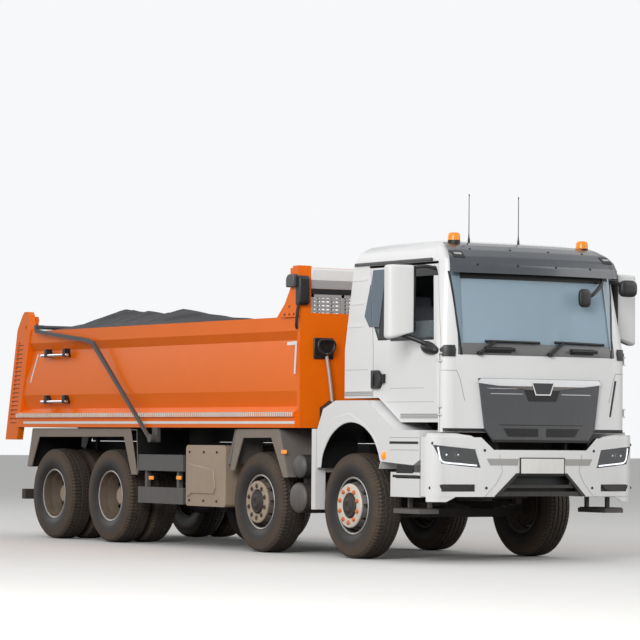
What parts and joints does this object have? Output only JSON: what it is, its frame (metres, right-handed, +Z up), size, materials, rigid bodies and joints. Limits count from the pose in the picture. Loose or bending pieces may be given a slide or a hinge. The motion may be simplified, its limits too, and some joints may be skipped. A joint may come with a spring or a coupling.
{
  "type": "dump truck",
  "caption": "Four-axle tipper: tilting day cab, steering front axles, twin rear wheels, steel body tipped by a front ram, top-hung tailgate, rolled sheet.",
  "frame": {"origin": "on the ground, in the middle of the overall length and width", "axes": "+X forward to the truck's nose, +Y to its left side, +Z up"},
  "size_m": [9.22, 3.03, 3.6649],
  "materials": {
    "body_orange": "gloss",
    "cab_cream": "gloss",
    "chassis_grey": "satin",
    "guard_plastic": "matt",
    "treatment_box": "satin",
    "tank_metal": "satin",
    "tyre_rubber": "matt",
    "wheel_steel": "satin",
    "axle_end_iron": "matt",
    "lamp_clear": "gloss",
    "window_glass": "gloss",
    "visor_smoke": "gloss",
    "beacon_amber": "gloss",
    "mirror_shell": "matt",
    "cab_trim": "matt",
    "seat_cloth": "matt",
    "sheet_mesh": "matt",
    "ram_steel": "satin"
  },
  "bodies": {
    "chassis": {"chassis_frame": "chassis_grey", "steer_axles": "chassis_grey", "drive_axles": "chassis_grey", "leaf_springs": "chassis_grey", "engine": "chassis_grey", "bumper": "cab_cream", "lamps": "lamp_clear", "front_fenders": "guard_plastic", "mudguards": "guard_plastic", "side_guards": "guard_plastic", "exhaust_box": "treatment_box", "fuel_tank": "tank_metal", "air_tanks": "chassis_grey"},
    "cab": {"cab_floor": "cab_trim", "cab_rear": "cab_cream", "cab_roof": "cab_cream", "cab_front": "cab_cream", "windscreen": "window_glass", "sun_visor": "visor_smoke", "beacons": "beacon_amber", "dashboard": "cab_trim", "seats": "seat_cloth"},
    "right_door": {"door_right": "cab_cream", "door_glass_right": "window_glass", "mirror_right": "mirror_shell"},
    "left_door": {"door_left": "cab_cream", "door_glass_left": "window_glass", "mirror_left": "mirror_shell"},
    "front_flap": {"grille_flap": "cab_cream"},
    "body": {"tub": "body_orange", "headboard": "body_orange", "sheet": "sheet_mesh", "sheet_arms": "chassis_grey"},
    "rear_gate": {"tailgate": "body_orange"},
    "barrel": {"hoist_barrel": "ram_steel"},
    "stage_1": {"hoist_stage_1": "ram_steel"},
    "stage_2": {"hoist_stage_2": "ram_steel"},
    "stage_3": {"hoist_stage_3": "ram_steel"},
    "stage_4": {"hoist_stage_4": "ram_steel"},
    "stage_5": {"hoist_stage_5": "ram_steel"},
    "steer_1_right": {"knuckle_1_right": "axle_end_iron"},
    "wheel_1_right": {"tyre_1_right": "tyre_rubber", "rim_1_right": "wheel_steel"},
    "steer_1_left": {"knuckle_1_left": "axle_end_iron"},
    "wheel_1_left": {"tyre_1_left": "tyre_rubber", "rim_1_left": "wheel_steel"},
    "steer_2_right": {"knuckle_2_right": "axle_end_iron"},
    "wheel_2_right": {"tyre_2_right": "tyre_rubber", "rim_2_right": "wheel_steel"},
    "steer_2_left": {"knuckle_2_left": "axle_end_iron"},
    "wheel_2_left": {"tyre_2_left": "tyre_rubber", "rim_2_left": "wheel_steel"},
    "wheels_3_right": {"tyres_3_right": "tyre_rubber", "rims_3_right": "wheel_steel"},
    "wheels_3_left": {"tyres_3_left": "tyre_rubber", "rims_3_left": "wheel_steel"},
    "wheels_4_right": {"tyres_4_right": "tyre_rubber", "rims_4_right": "wheel_steel"},
    "wheels_4_left": {"tyres_4_left": "tyre_rubber", "rims_4_left": "wheel_steel"}
  },
  "joints": [
    {"name": "cab_tilt", "type": "hinge", "parent": "chassis", "child": "cab", "pos_m": [4.535, 0, 1.29], "axis": [0, 1, 0], "range_deg": [0, 55]},
    {"name": "door_right_hinge", "type": "hinge", "parent": "cab", "child": "right_door", "pos_m": [4.442, -1.124, 2.1], "axis": [0, 0, 1], "range_deg": [0, 65]},
    {"name": "door_left_hinge", "type": "hinge", "parent": "cab", "child": "left_door", "pos_m": [4.442, 1.124, 2.1], "axis": [0, 0, -1], "range_deg": [0, 65]},
    {"name": "flap_hinge", "type": "hinge", "parent": "cab", "child": "front_flap", "pos_m": [4.608, 0, 1.802], "axis": [0, -1, 0], "range_deg": [0, 80]},
    {"name": "steer_1_right_pin", "type": "hinge", "parent": "chassis", "child": "steer_1_right", "pos_m": [2.99, -0.92, 0.53], "axis": [0, 0, 1], "range_deg": [-38, 38]},
    {"name": "wheel_1_right_spin", "type": "hinge", "parent": "steer_1_right", "child": "wheel_1_right", "pos_m": [2.99, -1.04, 0.53], "axis": [0, 1, 0], "continuous": true},
    {"name": "steer_1_left_pin", "type": "hinge", "parent": "chassis", "child": "steer_1_left", "pos_m": [2.99, 0.92, 0.53], "axis": [0, 0, 1], "range_deg": [-38, 38]},
    {"name": "wheel_1_left_spin", "type": "hinge", "parent": "steer_1_left", "child": "wheel_1_left", "pos_m": [2.99, 1.04, 0.53], "axis": [0, 1, 0], "continuous": true},
    {"name": "steer_2_right_pin", "type": "hinge", "parent": "chassis", "child": "steer_2_right", "pos_m": [1.195, -0.92, 0.53], "axis": [0, 0, 1], "range_deg": [-27.4, 27.4]},
    {"name": "wheel_2_right_spin", "type": "hinge", "parent": "steer_2_right", "child": "wheel_2_right", "pos_m": [1.195, -1.04, 0.53], "axis": [0, 1, 0], "continuous": true},
    {"name": "steer_2_left_pin", "type": "hinge", "parent": "chassis", "child": "steer_2_left", "pos_m": [1.195, 0.92, 0.53], "axis": [0, 0, 1], "range_deg": [-27.4, 27.4]},
    {"name": "wheel_2_left_spin", "type": "hinge", "parent": "steer_2_left", "child": "wheel_2_left", "pos_m": [1.195, 1.04, 0.53], "axis": [0, 1, 0], "continuous": true},
    {"name": "wheels_3_right_spin", "type": "hinge", "parent": "chassis", "child": "wheels_3_right", "pos_m": [-2.055, -0.91, 0.53], "axis": [0, 1, 0], "continuous": true},
    {"name": "wheels_3_left_spin", "type": "hinge", "parent": "chassis", "child": "wheels_3_left", "pos_m": [-2.055, 0.91, 0.53], "axis": [0, 1, 0], "continuous": true},
    {"name": "wheels_4_right_spin", "type": "hinge", "parent": "chassis", "child": "wheels_4_right", "pos_m": [-3.455, -0.91, 0.53], "axis": [0, 1, 0], "continuous": true},
    {"name": "wheels_4_left_spin", "type": "hinge", "parent": "chassis", "child": "wheels_4_left", "pos_m": [-3.455, 0.91, 0.53], "axis": [0, 1, 0], "continuous": true},
    {"name": "tip", "type": "hinge", "parent": "chassis", "child": "body", "pos_m": [-4.06, 0, 1.05], "axis": [0, -1, 0], "range_deg": [0, 45]},
    {"name": "gate_hinge", "type": "hinge", "parent": "body", "child": "rear_gate", "pos_m": [-4.1, 0, 2.59], "axis": [0, 1, 0], "range_deg": [0, 60]},
    {"name": "hoist_lean", "type": "hinge", "parent": "chassis", "child": "barrel", "pos_m": [2.47, 0, 0.64], "axis": [0, -1, 0], "range_deg": [0, 24.6]},
    {"name": "stage_1_slide", "type": "slide", "parent": "barrel", "child": "stage_1", "axis": [0, 0, 1], "range_m": [0, 0.9809]},
    {"name": "stage_2_slide", "type": "slide", "parent": "stage_1", "child": "stage_2", "axis": [0, 0, 1], "range_m": [0, 0.9809]},
    {"name": "stage_3_slide", "type": "slide", "parent": "stage_2", "child": "stage_3", "axis": [0, 0, 1], "range_m": [0, 0.9809]},
    {"name": "stage_4_slide", "type": "slide", "parent": "stage_3", "child": "stage_4", "axis": [0, 0, 1], "range_m": [0, 0.9809]},
    {"name": "stage_5_slide", "type": "slide", "parent": "stage_4", "child": "stage_5", "axis": [0, 0, 1], "range_m": [0, 0.9809]}
  ],
  "couplings": [
    {"joint": "steer_1_left_pin", "follows": "steer_1_right_pin", "ratio": 1},
    {"joint": "steer_2_right_pin", "follows": "steer_1_right_pin", "ratio": 0.72},
    {"joint": "steer_2_left_pin", "follows": "steer_1_right_pin", "ratio": 0.72},
    {"joint": "hoist_lean", "follows": "tip", "ratio": 0.54561},
    {"joint": "stage_1_slide", "follows": "tip", "m_per_rad": 1.2464},
    {"joint": "stage_2_slide", "follows": "tip", "m_per_rad": 1.2464},
    {"joint": "stage_3_slide", "follows": "tip", "m_per_rad": 1.2464},
    {"joint": "stage_4_slide", "follows": "tip", "m_per_rad": 1.2464},
    {"joint": "stage_5_slide", "follows": "tip", "m_per_rad": 1.2464}
  ]
}
